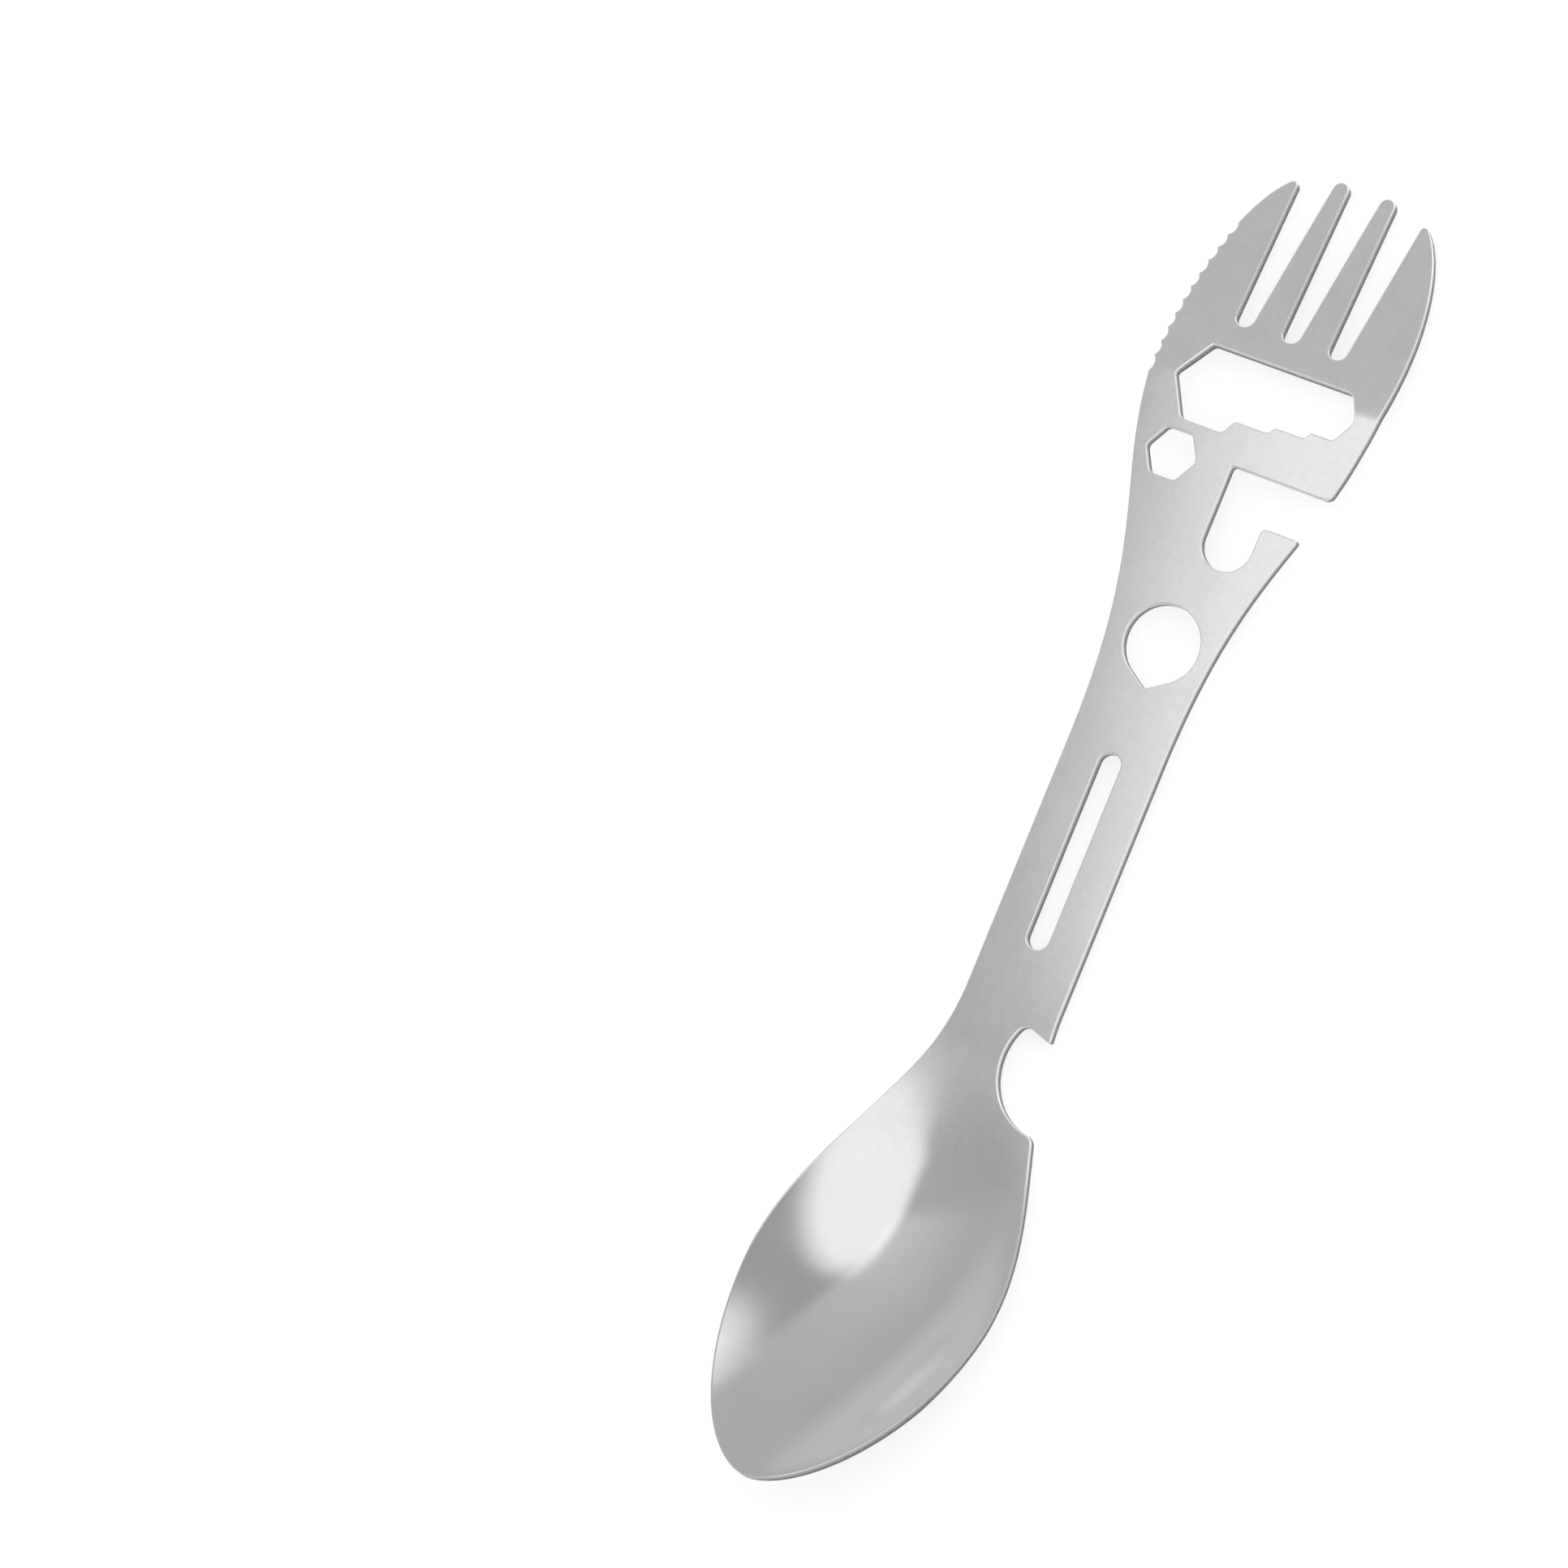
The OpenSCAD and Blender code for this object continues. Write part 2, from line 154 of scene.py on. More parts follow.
def stamped(name, rims, holes, form, spacing, face_steel, rows=()):
    """One stretch of the sheet as a closed mesh. The rims are its cut edges, counter-clockwise, joined by
    straight seams to the stretches beside it. The form says where a point of the flat blank ends up."""
    seam_step, edge_margin = 1.25, 0.5
    outer, cut = [], []
    for rim, following in zip(rims, rims[1:] + rims[:1]):
        seam = straight(rim[-1], following[0], seam_step)
        outer += [*rim, *seam[1:-1]]
        cut += [True] * (len(rim) - 1) + [False] * (len(seam) - 1)
    loops = [(np.array(outer), np.array(cut))] + [(hole, np.ones(len(hole), bool)) for hole in holes]

    # Rings of points from the upper face round the eased edge, down the cut wall and round again
    leans = np.radians(np.linspace(90, 0, edge_turns + 1))
    profile = [(lean, 1) for lean in leans] + [(lean, -1) for lean in leans[::-1]]
    flat, normals, rings, first, burnish_and_highlight = [], [], [], [], []
    for points, is_cut in loops:
        ahead = np.roll(points, -1, axis=0) - points
        ahead /= np.linalg.norm(ahead, axis=1)[:, None]
        out = np.column_stack((ahead[:, 1], -ahead[:, 0]))
        back_out, back_cut = np.roll(out, 1, axis=0), np.roll(is_cut, 1)
        both = is_cut & back_cut
        edge_out = np.where(both[:, None], out + back_out, np.where(is_cut[:, None], out, back_out))
        edge_out /= np.linalg.norm(edge_out, axis=1)[:, None]
        inward = (out + back_out) / (1 + np.sum(out * back_out, axis=1))[:, None]
        for i in np.flatnonzero(is_cut != back_cut):
            along = ahead[i] if back_cut[i] else np.roll(ahead, 1, axis=0)[i]
            inward[i] = along / (edge_out[i] @ along)
        inward[~is_cut & ~back_cut] = 0
        press = np.clip((press_x - points[:, 0]) / edge_change, 0, 1)
        ease = flat_edge_r + (bowl_edge_r - flat_edge_r) * press
        first.append(len(flat) and sum(map(len, flat)))
        for lean, up in profile:
            inset, height = ease * (1 - math.cos(lean)), sheet_t / 2 - ease * (1 - math.sin(lean))
            flat.append(np.column_stack((points - inward * inset[:, None], up * height)))
            rise = np.full(len(points), up * math.sin(lean))
            normals.append(np.column_stack((edge_out * math.cos(lean), rise)))
            # The eased edge is marked for real burnishing, which smooths it, and for a painted highlight in its
            # colour.
            burnish_and_highlight.append(np.full(len(points), math.cos(lean) > 0.01, float))
        rings.append(points - inward * ease[:, None])

    # Points within the upper face, and the same again on the lower one
    low, high = rings[0].min(0), rings[0].max(0)
    grid = [np.stack(np.meshgrid(np.arange(low[0] + spacing / 2, high[0], spacing),
                                 np.arange(low[1] + spacing / 2, high[1], spacing)), -1).reshape(-1, 2)]
    grid = np.concatenate(grid + list(rows))
    grid = grid[inside(grid, rings)]
    near = np.concatenate(rings)
    reach = np.array([np.min(np.sum((near - p) ** 2, axis=1)) for p in grid]) if len(grid) else np.zeros(0)
    grid = grid[reach > edge_margin ** 2]
    ring_ids = [start + np.arange(len(ring)) for start, ring in zip(first, rings)]
    last_ids = [ids + (len(profile) - 1) * len(ids) for ids in ring_ids]
    grid_ids = sum(map(len, flat)) + np.arange(len(grid))
    for up in (1, -1):
        flat.append(np.column_stack((grid, np.full(len(grid), up * sheet_t / 2))))
        normals.append(np.tile((0.0, 0.0, up), (len(grid), 1)))
        burnish_and_highlight.append(np.zeros(len(grid)))
    flat, normals = np.concatenate(flat), np.concatenate(normals)

    # Faces: bands between the rings, then the two faces of the sheet
    faces, wall, cap = [], [], []
    for (points, is_cut), ids in zip(loops, ring_ids):
        count = len(points)
        for turn in range(len(profile) - 1):
            for i in range(count):
                a, b = ids[i] + turn * count, ids[(i + 1) % count] + turn * count
                faces.append((a, a + count, b + count, b))
                wall.append(turn >= edge_turns and is_cut[i])
                cap.append(not is_cut[i])
    face_points = np.concatenate(rings + [grid])
    upper_ids = np.concatenate(ring_ids + [grid_ids])
    lower_ids = np.concatenate(last_ids + [grid_ids + len(grid)])
    bounds, start = [], 0
    for ring in rings:
        bounds += [(start + i, start + (i + 1) % len(ring)) for i in range(len(ring))]
        start += len(ring)
    placed = geometry.delaunay_2d_cdt([Vector(p) for p in face_points], bounds, [], 0, 1e-7)
    sources = [found[0] for found in placed[3]]
    triangles = np.array([[sources[k] for k in triangle] for triangle in placed[2]])
    triangles = triangles[inside(face_points[triangles].mean(axis=1), rings)]
    for upper, ids in ((True, upper_ids), (False, lower_ids)):
        for triangle in triangles:
            corner = face_points[triangle]
            turned = np.cross(corner[1] - corner[0], corner[2] - corner[0]) > 0
            faces.append(tuple(int(k) for k in ids[triangle if turned == upper else triangle[::-1]]))
            wall.append(False)
            cap.append(False)

    # The form takes the flat points to their place, and its slopes turn their normals with them
    tiny = 1e-3
    place = form(*flat.T)
    slopes = [(form(*(flat + step).T) - form(*(flat - step).T)) / (2 * tiny) for step in np.eye(3) * tiny]
    turned = [np.cross(slopes[1], slopes[2]), np.cross(slopes[2], slopes[0]), np.cross(slopes[0], slopes[1])]
    corner_ids = np.array([k for face in faces for k in face])
    corner_normals = sum(normals[corner_ids, k, None] * turned[k][corner_ids] for k in range(3)) @ rest_lay.T
    corner_normals /= np.linalg.norm(corner_normals, axis=1)[:, None]
    corner_counts = [len(face) for face in faces]
    seam_corners = np.repeat(np.array(cap), corner_counts)
    mesh = bpy.data.meshes.new(name)
    mesh.from_pydata(((place @ rest_lay.T + rest_shift) / 1000).tolist(), [], faces)
    mesh.shade_smooth()
    mesh.update()
    face_normals = np.repeat(np.array([p.normal for p in mesh.polygons]), corner_counts, axis=0)
    corner_normals[seam_corners] = face_normals[seam_corners]
    mesh.normals_split_custom_set(corner_normals.tolist())
    details = {"burnish_and_highlight": np.concatenate(burnish_and_highlight), "through_sheet": flat[:, 2] / sheet_t + 0.5}
    for detail, values in details.items():
        mesh.attributes.new(detail, "FLOAT", "POINT").data.foreach_set("value", values.astype(np.float32))
    mesh.materials.append(face_steel)
    mesh.materials.append(sheared_steel_painted_shade)
    mesh.polygons.foreach_set("material_index", np.array(wall, np.int32))
    piece = bpy.data.objects.new(name, mesh)
    bpy.context.scene.collection.objects.link(piece)
    return piece


def wired(tree, kind, inputs={}, **settings):
    """A shader node with its settings. Each input takes a value, or the output it is wired to."""
    node = tree.nodes.new("ShaderNode" + kind)
    for name, value in settings.items():
        setattr(node, name, value)
    for name, value in inputs.items():
        if isinstance(value, bpy.types.NodeSocket):
            tree.links.new(value, node.inputs[name])
        else:
            node.inputs[name].default_value = value
    return node


def grown(tree, place, scale, detail=3.0, roughness=0.55):
    """A cloud of noise in the steel, with as many grains to the metre along x, y and z as the scale says."""
    stretched = wired(tree, "Mapping", {"Vector": place, "Scale": scale}).outputs["Vector"]
    noise = wired(tree, "TexNoise", {"Vector": stretched, "Scale": 1.0, "Detail": detail, "Roughness": roughness})
    return noise.outputs["Fac"]


def spread(tree, value, start, end, low, high):
    """A value taken from one range to another, held at its ends."""
    ends = {"Value": value, "From Min": start, "From Max": end, "To Min": low, "To Max": high}
    return wired(tree, "MapRange", ends, interpolation_type="SMOOTHSTEP").outputs["Result"]


def added(tree, *values, operation="ADD"):
    """Values added up, or taken together in another way."""
    total = values[0]
    for value in values[1:]:
        total = wired(tree, "Math", {0: total, 1: value}, operation=operation).outputs["Value"]
    return total


def blended(tree, share, first, second):
    """One value or colour giving way to another as the share goes from 0 to 1."""
    kind, low, high, out = ("RGBA", 6, 7, 2) if isinstance(second, tuple) else ("FLOAT", 2, 3, 0)
    mix = wired(tree, "Mix", {0: share, low: first, high: second}, data_type=kind)
    return mix.outputs[out]


def rolled_steel(name, dullness, polish_from=None, polish_to=None):
    """Satin stainless sheet: a fine grain along it, clouding, and burnished edges that are less rough and carry a
    painted highlight, turned near white in their colour. Between the two stations, if there are any, the satin gives
    way to a polish with faint buffing lines."""
    material = bpy.data.materials.new(name)
    material.use_nodes = True
    tree = material.node_tree
    bsdf = tree.nodes["Principled BSDF"]
    bsdf.inputs["Metallic"].default_value = 1
    place = wired(tree, "TexCoord").outputs["Object"]
    grain = grown(tree, place, (150, 2000, 150), 3.0, 0.5)
    speckle = grown(tree, place, (1100, 1100, 1100), 2.0)
    cloud = grown(tree, place, (95, 150, 150), 4.0, 0.6)
    edge = wired(tree, "Attribute", attribute_name="burnish_and_highlight").outputs["Fac"]
    dull = spread(tree, grain, 0.3, 0.7, dullness - 0.004, dullness + 0.004)
    dull = added(tree, dull, spread(tree, cloud, 0.3, 0.7, -0.002, 0.002))
    dull = added(tree, dull, spread(tree, edge, 0, 1, 0, -0.05))
    tone = added(tree, spread(tree, cloud, 0.3, 0.7, 0, 0.6), spread(tree, speckle, 0.35, 0.65, 0, 0.4))
    colour = blended(tree, tone, (0.595, 0.597, 0.602, 1), (0.645, 0.646, 0.648, 1))
    painted_edge_highlight = spread(tree, edge, 0, 1, 0, 1)
    rough_height = added(tree, grain, added(tree, speckle, 0.5, operation="MULTIPLY"))
    if polish_from is not None:
        along = wired(tree, "SeparateXYZ", {"Vector": place}).outputs["X"]
        polish = spread(tree, along, polish_from / 1000, polish_to / 1000, 0, 1)
        smear = grown(tree, place, (120, 70, 120), 5.0, 0.65)
        buffed = spread(tree, smear, 0.35, 0.7, 0.105, 0.14)
        dull = blended(tree, polish, dull, buffed)
        colour = blended(tree, added(tree, polish, 0.6, operation="MULTIPLY"), colour, (0.62, 0.6215, 0.625, 1))
        rough_height = added(tree, rough_height, spread(tree, polish, 0, 1, 1, 0.05), operation="MULTIPLY")
        painted_edge_highlight = added(tree, painted_edge_highlight, spread(tree, polish, 0, 1, 1, 0), operation="MULTIPLY")
    # Painted highlight: the eased edges are turned near white, far brighter than steel can be, to stand for the
    # bright line of light along them.
    colour = blended(tree, painted_edge_highlight, colour, (0.94, 0.94, 0.935, 1))
    tree.links.new(colour, bsdf.inputs["Base Color"])
    tree.links.new(dull, bsdf.inputs["Roughness"])
    bump = wired(tree, "Bump", {"Strength": 0.15, "Distance": 6e-6, "Height": rough_height})
    tree.links.new(bump.outputs["Normal"], bsdf.inputs["Normal"])
    return material


satin_steel = rolled_steel("satin_steel", 0.282)

sheared_steel_painted_shade = bpy.data.materials.new("sheared_steel_painted_shade")
sheared_steel_painted_shade.use_nodes = True
shear_tree = sheared_steel_painted_shade.node_tree
shear_bsdf = shear_tree.nodes["Principled BSDF"]
shear_bsdf.inputs["Metallic"].default_value = 1
shear_place = wired(shear_tree, "TexCoord").outputs["Object"]
drag_lines = grown(shear_tree, shear_place, (4200, 4200, 350), 3.0, 0.6)
through = wired(shear_tree, "Attribute", attribute_name="through_sheet").outputs["Fac"]
ragged = added(shear_tree, through, spread(shear_tree, drag_lines, 0.3, 0.7, -0.12, 0.12))
torn = spread(shear_tree, ragged, 0.35, 0.6, 1, 0)
# Cut walls: a brighter sheared band on top and a duller torn band below. Both colours are set far darker than bare
# steel as painted shade, standing in for the shadowed table the walls face.
shear_and_painted_shade_colour = blended(shear_tree, torn, (0.29, 0.29, 0.295, 1), (0.17, 0.17, 0.175, 1))
shear_tree.links.new(shear_and_painted_shade_colour, shear_bsdf.inputs["Base Color"])
shear_dull = added(shear_tree, spread(shear_tree, torn, 0, 1, 0.3, 0.5),
                   spread(shear_tree, drag_lines, 0.3, 0.7, -0.04, 0.04))
shear_tree.links.new(shear_dull, shear_bsdf.inputs["Roughness"])
shear_bump = wired(shear_tree, "Bump", {"Strength": 0.5, "Distance": 1e-5, "Height": drag_lines})
shear_tree.links.new(shear_bump.outputs["Normal"], shear_bsdf.inputs["Normal"])

claw_slope = math.tan(math.radians(claw_lean))
notch_turn = math.degrees(math.acos((press_x - notch_centre[0]) / notch_r))
notch_arc = arc(notch_centre, notch_r, 180, 20, 0.3)
claw_line = notch_arc[:, 0] - claw_from - claw_slope * notch_arc[:, 1]
meets = int(np.flatnonzero(claw_line > 0)[0])
share = claw_line[meets - 1] / (claw_line[meets - 1] - claw_line[meets])
claw_root = notch_arc[meets - 1] + share * (notch_arc[meets] - notch_arc[meets - 1])
claw_tip_y = -float(side_y(press_x))
claw_tip = (claw_from + claw_slope * claw_tip_y, claw_tip_y)
root_turn = math.degrees(math.atan2(claw_root[1] - notch_centre[1], claw_root[0] - notch_centre[0]))
handle_low = joined(
    arc(notch_centre, notch_r, notch_turn, root_turn), claw_root_ease,
    straight(claw_root, claw_tip, 0.4), claw_tip_ease,
    np.vstack(([claw_tip], side(claw_tip[0] + 0.7, plate_x, -1))))
slot_end = (slot_l - slot_w) / 2
slot_rim = np.vstack((arc((slot_end, 0), slot_w / 2, -90, 90), arc((-slot_end, 0), slot_w / 2, 90, 270)))[::-1]
flat_spacing = 3.0
handle_rims = [handle_low, side(plate_x, press_x, 1)]
handle = stamped("handle_strip", handle_rims, [slot_rim], as_punched, flat_spacing, satin_steel)
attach(handle, "root")
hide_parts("handle")


# TOOL PLATE
# The part that widens towards the fork, of the same sheet. The key ring hole, the hexagonal bit hole,
# the bottle opener with its hook and the stepped side of the nut window are punched through it.

ring_x, ring_y, ring_r, ring_tip = 29.3, -0.35, 5.3, 1.0
channel_x, channel_end, channel_w, mouth_x = 40.8, 54.2, 7.2, 48.0
bit_centre, bit_af = (53.0, 8.64), 6.4
bend_x, bend_lean, bend_angle, bend_r = 64.9, math.radians(6.56), math.radians(13.16), 7.0
bend_seam_x = 61.3
nut_flats = [(60.8, -7.905), (60.8, -3.517), (59.8, -2.940), (59.8, 2.025), (57.8, 3.180), (57.8, 9.300)]
wide_end, wide_slope = (63.1, 12.36), 3.06 / 5.3
narrow_step = (61.8, -8.482)
mouth_ease, finger_ease, hook_ease, channel_ease = 0.7, 0.9, 0.9, 0.6
flat_ease, bit_ease, ring_ease = 0.55, 0.55, 0.3

bend_reach = bend_r * math.tan(bend_angle / 2)


def beside_bend(ahead, along):
    """Points on the blank, by how far they lie past the bend line and along it."""
    cos, sin = math.cos(bend_lean), math.sin(bend_lean)
    return bend_x + ahead * cos - along * sin, ahead * sin + along * cos


def as_bent(x, y, h):
    """The sheet bent down at the fork, on an arc about a line that runs a little askew across it."""
    cos, sin = math.cos(bend_lean), math.sin(bend_lean)
    ahead, along = (x - bend_x) * cos + y * sin, y * cos - (x - bend_x) * sin
    gone = np.clip(ahead + bend_reach, 0, None)
    turn = np.minimum(gone / bend_r, bend_angle)
    past = np.maximum(gone - bend_r * bend_angle, 0)
    bent = np.minimum(ahead, -bend_reach) + (bend_r + h) * np.sin(turn) + past * np.cos(turn)
    drop = bend_r * (1 - np.cos(turn)) + past * np.sin(turn)
    return np.column_stack((*beside_bend(bent, along), h * np.cos(turn) - drop))


channel_r = channel_w / 2
small_flat_end, large_flat_end = nut_flats[0], nut_flats[-1]
seam_low_y = small_flat_end[1] - (bend_seam_x - small_flat_end[0]) * math.tan(math.radians(30))
seam_high_y = large_flat_end[1] + (bend_seam_x - large_flat_end[0]) * wide_slope
plate_low = joined(
    side(plate_x, mouth_x, -1), mouth_ease,
    straight((mouth_x, -float(side_y(mouth_x))), (mouth_x, -channel_w)), finger_ease,
    straight((mouth_x, -channel_w), (channel_x + channel_r, -channel_w)), 0,
    arc((channel_x + channel_r, -channel_r), channel_r, 270, 90), 0,
    straight((channel_x + channel_r, 0), (channel_end, 0)), channel_ease,
    straight((channel_end, 0), (channel_end, -float(side_y(channel_end)))), hook_ease,
    side(channel_end, bend_seam_x, -1, 0.4))
plate_window = angled([(bend_seam_x, seam_low_y), *nut_flats, (bend_seam_x, seam_high_y)],
                      [flat_ease] * len(nut_flats))
ring_lean = math.degrees(math.acos(ring_r / (ring_r + ring_tip)))
ring_arc = arc((ring_x, ring_y), ring_r, 180 + ring_lean, 540 - ring_lean)
ring_point = (ring_x - ring_r - ring_tip, ring_y)
ring_rim = joined(ring_arc, 0, straight(ring_arc[-1], ring_point), ring_ease,
                  straight(ring_point, ring_arc[0]))[:-1][::-1]
bit_r = bit_af / 2 / math.cos(math.radians(30))
bit_corners = [(bit_centre[0] + bit_r * math.cos(math.radians(turn)),
                bit_centre[1] + bit_r * math.sin(math.radians(turn)))
               for turn in range(30, 390, 60)]
bit_start = tuple(np.mean((bit_corners[-1], bit_corners[0]), axis=0))
bit_rim = angled([bit_start, *bit_corners, bit_start], [bit_ease] * len(bit_corners))[:-1][::-1]
plate_rims = [plate_low, plate_window, side(bend_seam_x, plate_x, 1)]
plate = stamped("tool_plate_sheet", plate_rims, [ring_rim, bit_rim], as_punched, flat_spacing, satin_steel)
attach(plate, "root")
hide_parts("tool_plate")


# FORK
# The four tines, bent down a little from the plate. The gaps between them are punched, and the outer
# tine on one side has a row of scallops along its edge for cutting.

window_x = 68.4
narrow_point, narrow_y = (65.1, -13.59), -11.69
gap_root_x, gap_pitch, gap_half_root, gap_slope = 72.0, 7.0, 1.25, 1.2 / 23.2
inner_tip_x, outer_tip_x, point_r, plain_fuller = 95.2, 93.2, 0.6, 0.45
tooth_count, tooth_pitch, tooth_depth, tooth_from = 11, 2.1, 0.4, 63.2
window_eases = [0.4, 0.45, 0.9, 1.0, 0.5, 0.25]


def gap_half(x):
    """Half the width of a gap between tines, which opens towards the tips."""
    return gap_half_root + gap_slope * (x - gap_root_x)


point_x = outer_tip_x - point_r
point_y = gap_pitch + gap_half(point_x) + point_r
point_turn = 42.0
blade_l = outer_tip_x - fork_wide_x
blade = drawn((fork_wide_x, fork_w / 2), (fork_wide_x + 0.45 * blade_l, fork_w / 2),
              (fork_wide_x + 0.84 * blade_l, 0.86 * fork_w / 2),
              (point_x + point_r * math.cos(math.radians(point_turn)),
               point_y + point_r * math.sin(math.radians(point_turn))))
fork_side = np.vstack((flare[flare[:, 0] > bend_seam_x], blade[1:]))


def fork_edge(start, end):
    """The fork's edge at +Y between two stations, from the seam towards the point."""
    x = straight((start, 0), (end, 0), 0.4)[:, 0]
    return np.column_stack((x, np.interp(x, fork_side[:, 0], fork_side[:, 1])))


scallop_half = 0.45 * tooth_pitch
scallop_r = (scallop_half ** 2 + tooth_depth ** 2) / (2 * tooth_depth)
scallop_turn = math.asin(scallop_half / scallop_r)
serrated = []
for tooth in range(tooth_count):
    x = tooth_from + tooth * tooth_pitch
    y, behind, ahead = np.interp((x, x - 0.5, x + 0.5), fork_side[:, 0], fork_side[:, 1])
    lean = math.atan(ahead - behind)
    turn = np.linspace(-scallop_turn, scallop_turn, 9)
    along, out = scallop_r * np.sin(turn), scallop_r - tooth_depth - scallop_r * np.cos(turn)
    scallop = np.column_stack((x + along * math.cos(lean) - out * math.sin(lean),
                               y + along * math.sin(lean) + out * math.cos(lean)))
    if tooth == 0:
        serrated.append(fork_edge(bend_seam_x, scallop[0, 0])[:-1])
    serrated.append(scallop)
serrated.append(fork_edge(serrated[-1][-1, 0], fork_side[-1, 0])[1:])
serrated = np.vstack(serrated)
plain_edge = fork_edge(bend_seam_x, fork_side[-1, 0]) * (1, -1)
plain_share = (plain_edge[:, 0] - bend_seam_x) / (fork_side[-1, 0] - bend_seam_x)
plain_edge[:, 1] -= plain_fuller * np.sin(np.pi * plain_share)
tine_r = (gap_pitch / 2 - gap_half(inner_tip_x)) / (1 - gap_slope)
tine_x = inner_tip_x - tine_r
root_x = gap_root_x + gap_half_root
root_r = gap_half(root_x)
tines = arc((point_x, -point_y), point_r, -point_turn, 90, 0.12)
for gap in (-gap_pitch, 0, gap_pitch):
    far_x = tine_x if gap < gap_pitch else point_x
    tines = joined(tines, 0, straight(tines[-1], (root_x, gap - root_r)), 0,
                   arc((root_x, gap), root_r, 270, 90), 0,
                   straight((root_x, gap + root_r), (far_x, gap + gap_half(far_x))))
    if gap < gap_pitch:
        tines = joined(tines, 0, arc((tine_x, gap + gap_pitch / 2), tine_r, -90, 90, 0.2))
tines = joined(tines, 0, arc((point_x, point_y), point_r, -90, point_turn, 0.12))
fork_outer = joined(plain_edge, 0, tines, 0, serrated[::-1])
fork_window = angled(
    [(bend_seam_x, seam_high_y), wide_end, (window_x, large_flat_end[1]), (window_x, narrow_y), narrow_point,
     (narrow_step[0], narrow_y), narrow_step, (bend_seam_x, seam_low_y)], window_eases)
row_margin = 0.6
bend_steps = [-bend_reach - row_margin, *np.linspace(-bend_reach, bend_reach, 7), bend_reach + row_margin]
row_along = np.linspace(-fork_w / 2, fork_w / 2, 40)
fork_rows = [np.column_stack(beside_bend(ahead, row_along)) for ahead in bend_steps]
fork = stamped("fork_tines", [fork_outer, fork_window], [], as_bent, flat_spacing, satin_steel, fork_rows)
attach(fork, "root")
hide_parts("fork")


# NECK
# The short stretch between handle and bowl, cut away on one side by the round notch of the can opener.
# Pressing the bowl starts here, so the sheet begins to rise and to dish.

bowl_seam_x = -38.2
bowl_depth, bowl_rise, rise_power, rise_onset, dish_run = 7.0, 19.4, 1.44, 7.0, 20.0
lip_flat, lip_lean, front_lean, front_trim = 0.26, 0.14, 1.25, 0.4
rim_lean, rim_lean_rate, plain_band, slope_reach = 0.34, 2.2, 14.0, 0.4
notch_ease, curved_spacing = 1.3, 1.2


def pressed_z(x, y):
    """The middle of the pressed sheet: its rim rises to the tip, its middle dishes down, and the wall
    eases off a little towards the lip."""
    gone = np.clip(press_x - x, 0, None)
    rim = bowl_rise * (gone / (press_x - bowl_tip_x)) ** rise_power * (1 - np.exp(-(gone / rise_onset) ** 2))
    start = np.clip(gone / dish_run, 0, 1)
    start = start * start * (3 - 2 * start)
    across = np.maximum(side_y(x), 0.01)
    out = np.clip(y / across, -1, 1)
    lip = 1 - (lip_flat - lip_lean * out) * out * out
    dish = bowl_depth * start * (across ** 2 - y ** 2) / (bowl_w / 2) ** 2 * lip
    return rim - dish


def as_pressed(x, y, h):
    """The sheet pressed into the bowl. Its front leans to the serrated side, and round the plain side of the
    front the cut edge of the rim faces a little up, so the lower face reaches out past the upper one."""
    ahead = np.clip((bowl_wide_x - x) / (bowl_wide_x - bowl_tip_x), 0, 1)
    plain = np.clip(0.5 - y / plain_band, 0, 1)
    plain = plain * plain * (3 - 2 * plain)
    lean = rim_lean * (sheet_t / 2 - h) * plain * np.clip(rim_lean_rate * ahead, 0, 1) ** 2
    slope_x = (pressed_z(x + slope_reach, y) - pressed_z(x - slope_reach, y)) / (2 * slope_reach)
    slope_y = (pressed_z(x, y + slope_reach) - pressed_z(x, y - slope_reach)) / (2 * slope_reach)
    aside = (front_lean + front_trim * plain) * ahead ** 2
    return np.column_stack((x + lean * slope_x, y + lean * slope_y + aside, pressed_z(x, y) + h))


neck_low = joined(side(bowl_seam_x, notch_centre[0] - notch_r, -1, 0.3), notch_ease,
                  arc(notch_centre, notch_r, 180, notch_turn))
neck = stamped("neck_notched", [neck_low, side(press_x, bowl_seam_x, 1)], [], as_pressed, curved_spacing, satin_steel)
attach(neck, "root")
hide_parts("neck")


# SPOON BOWL
# The bowl of the spoon, of the same stainless sheet. It is drawn from the flat between two dies, then
# trimmed at its rim and buffed, so the satin of the neck gives way to a polish.

front_turn = np.radians(np.linspace(0, 90, 61))
front_x = bowl_wide_x - (bowl_wide_x - bowl_tip_x) * np.sin(front_turn) ** (2 / bowl_front_power)
front_y = bowl_w / 2 * np.cos(front_turn) ** (2 / bowl_front_power)
bowl_front = np.column_stack((front_x, front_y))
bowl_rim = np.vstack((side(bowl_seam_x, bowl_wide_x, 1), bowl_front[1:], (bowl_front * (1, -1))[::-1][1:],
                      side(bowl_wide_x, bowl_seam_x, -1)[1:]))
polished_steel = rolled_steel("polished_steel", 0.267, bowl_seam_x - 0.3, bowl_seam_x - 12)
bowl = stamped("spoon_bowl_pressed", [bowl_rim], [], as_pressed, curved_spacing, polished_steel)
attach(bowl, "root")
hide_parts("spoon_bowl")


# TABLE
# A plain pale table top under the spork, painted matt. It is lit from below round the middle, as a light
# table is, so the spork casts hardly any shadow.

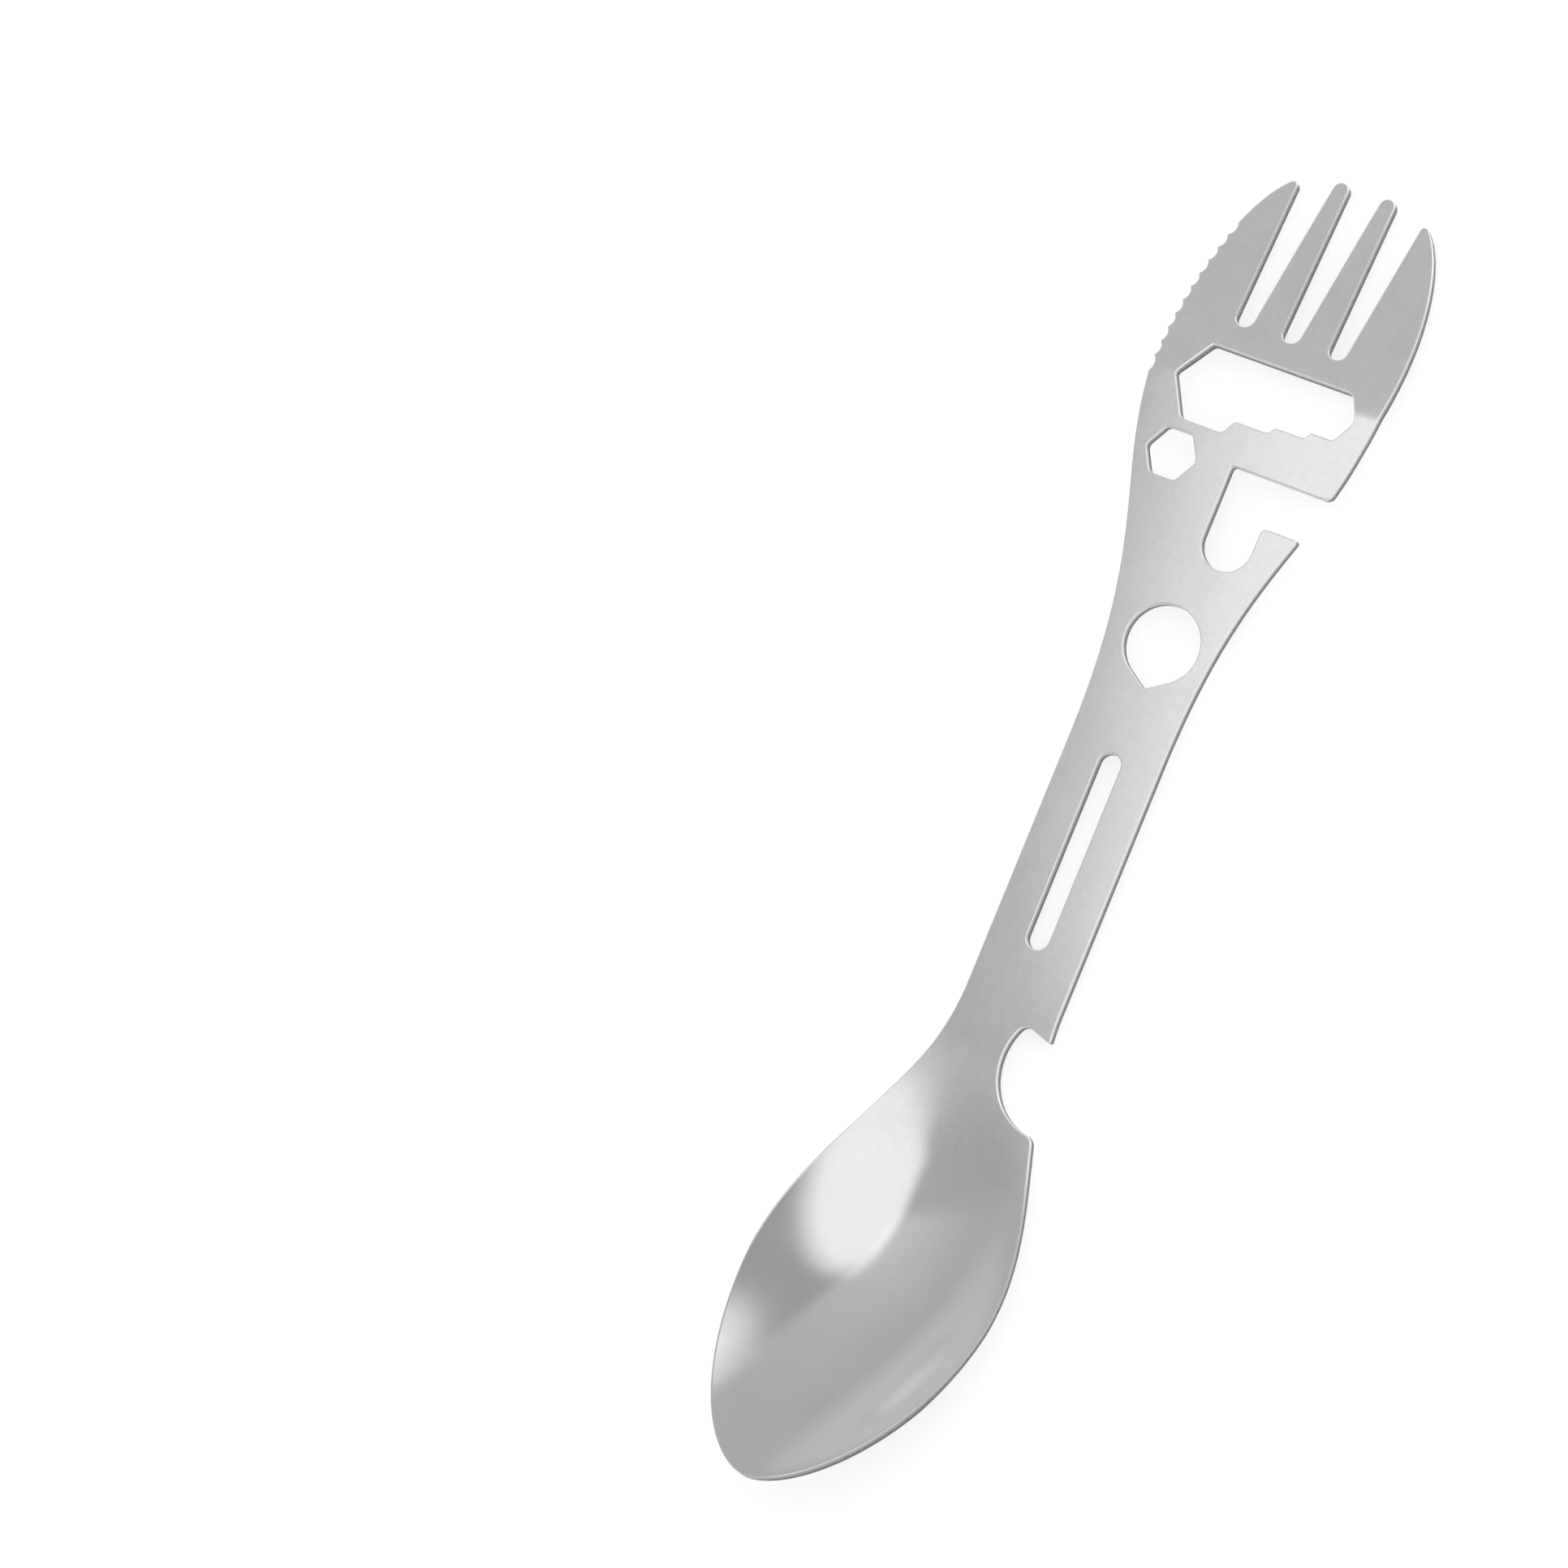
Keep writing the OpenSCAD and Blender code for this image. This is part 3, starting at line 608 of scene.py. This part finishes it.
table = bpy.data.objects.new("table_top", bpy.data.meshes.new("table_top"))
table_half = 3.0
table_corners = [(-table_half, -table_half, 0), (table_half, -table_half, 0),
                 (table_half, table_half, 0), (-table_half, table_half, 0)]
table.data.from_pydata(table_corners, [], [(0, 1, 2, 3)])
bpy.context.scene.collection.objects.link(table)
table_paint = bpy.data.materials.new("table_paint")
table_paint.use_nodes = True
table_bsdf = table_paint.node_tree.nodes["Principled BSDF"]
table_bsdf.inputs["Base Color"].default_value = (0.9, 0.9, 0.9, 1)
table_bsdf.inputs["Roughness"].default_value = 0.9
table_bsdf.inputs["Emission Color"].default_value = (1, 1, 1, 1)
table_tree = table_paint.node_tree
table_place = wired(table_tree, "TexCoord").outputs["Object"]
from_middle = wired(table_tree, "VectorMath", {0: table_place}, operation="LENGTH").outputs["Value"]
table_glow = spread(table_tree, from_middle, 0.16, 0.5, 0.45, 0.05)
table_tree.links.new(table_glow, table_bsdf.inputs["Emission Strength"])
table.data.materials.append(table_paint)


# STUDIO LIGHT AND CAMERA
# Soft boxes round a grey room: a big round one high on the plain side, a low one beyond the fork and a
# small one with a grid close over the tool plate. A long lens looks down.

world = bpy.data.worlds.new("studio_grey")
bpy.context.scene.world = world
world.use_nodes = True
room = world.node_tree
room_way = wired(room, "TexCoord").outputs["Generated"]
room_axes = wired(room, "SeparateXYZ", {"Vector": room_way}).outputs
light_way, fork_way = (0.35, 0.90, 0), (1, 0.11, 0)
room_side = wired(room, "VectorMath", {0: room_way, 1: light_way}, operation="DOT_PRODUCT").outputs["Value"]
room_end = wired(room, "VectorMath", {0: room_way, 1: fork_way}, operation="DOT_PRODUCT").outputs["Value"]
towards_fork = spread(room, room_end, 0.12, 0.20, 0.30, 1)
light_side = added(room, spread(room, room_side, 0.03, 0.11, 0, 1), towards_fork, operation="MULTIPLY")
overhead = added(room, room_axes["Z"], room_axes["Z"], 0.23, operation="MULTIPLY")
low_glow = spread(room, room_axes["Z"], 0.02, 0.3, 0.18, 0)
room_glow = blended(room, light_side, 0.50, added(room, overhead, low_glow, 0.60))
room.nodes["Background"].inputs["Color"].default_value = (1, 1, 1, 1)
room.links.new(room_glow, room.nodes["Background"].inputs["Strength"])

bpy.context.scene.view_settings.view_transform = "Standard"


def soft_box(name, target, towards, distance, size, glow, fade=0.0, roll=0.0, grid=180):
    """A soft box that faces a point. Its glow is its brightness, and the fade is the share of a round one,
    from the rim in, over which it grows dim. A square one has no fade. A grid narrows the beam."""
    box = bpy.data.objects.new(name, bpy.data.lights.new(name, "AREA"))
    box.data.shape = "ELLIPSE" if fade else "RECTANGLE"
    box.data.size, box.data.size_y = size
    box.data.energy = glow * math.pi * size[0] * size[1] * (math.pi / 4 if fade else 1)
    box.data.spread = math.radians(grid)
    facing = Vector(towards).normalized()
    level = (Vector((1, 0, 0)) - facing * facing.x).normalized()
    turned = Matrix((level, facing.cross(level), facing)).transposed()
    turned = turned @ Matrix.Rotation(math.radians(roll), 3, "Z")
    box.matrix_world = Matrix.Translation(Vector(target) + facing * distance) @ turned.to_4x4()
    box.visible_camera = False
    if fade:
        box.data.use_nodes = True
        tree = box.data.node_tree
        place = wired(tree, "NewGeometry").outputs["Parametric"]
        apart = wired(tree, "VectorMath", {0: place, 1: (0.5, 0.5, 0)}, operation="DISTANCE").outputs["Value"]
        dim = spread(tree, apart, 0.5 - fade / 2, 0.5, 1, 0)
        tree.links.new(dim, tree.nodes["Emission"].inputs["Strength"])
    bpy.context.scene.collection.objects.link(box)


bowl_middle, beside_plate = (-0.062, 0, 0.01), (0.037, -0.0525, 0.004)
soft_box("round_key", bowl_middle, (0.08, -0.31, 0.947), 0.9, (1.34, 0.92), 0.85, 0.42)
soft_box("low_strip", bowl_middle, (0.86, -0.42, 0.29), 0.9, (0.62, 0.60), 1.1, 0.6)
soft_box("plate_box", beside_plate, (0.025, 0.394, 0.919), 0.2, (0.105, 0.10), 0.0206, roll=8, grid=14)

# The camera is placed on the flat blank, in mm, and then laid down with it
lens, sensor, frame_w = 600.0, 36.0, 0.20323
view_n = np.array((-0.0641, -0.3944, 0.9167))
view_n /= np.linalg.norm(view_n)
along_x = np.array((1.0, 0, 0)) - view_n * view_n[0]
along_x /= np.linalg.norm(along_x)
across = np.cross(view_n, along_x)
roll = math.radians(22.357)
right = along_x * math.sin(roll) - across * math.cos(roll)
up = along_x * math.cos(roll) + across * math.sin(roll)
aim_aside, aim_up = -37.535, 8.742
aim = np.array((0, 0, sheet_t / 2)) + aim_aside * right + aim_up * up
right, up, view_n = (rest_lay @ v for v in (right, up, view_n))
aim = (rest_lay @ aim + rest_shift) / 1000
camera = bpy.data.objects.new("camera", bpy.data.cameras.new("camera"))
camera.data.lens, camera.data.sensor_width = lens, sensor
place = aim + view_n * frame_w * lens / sensor
camera.matrix_world = Matrix(np.column_stack((np.vstack((right, up, view_n)).T, place)).tolist()).to_4x4()
camera.data.clip_start, camera.data.clip_end = 0.01, 50
bpy.context.scene.collection.objects.link(camera)
bpy.context.scene.camera = camera
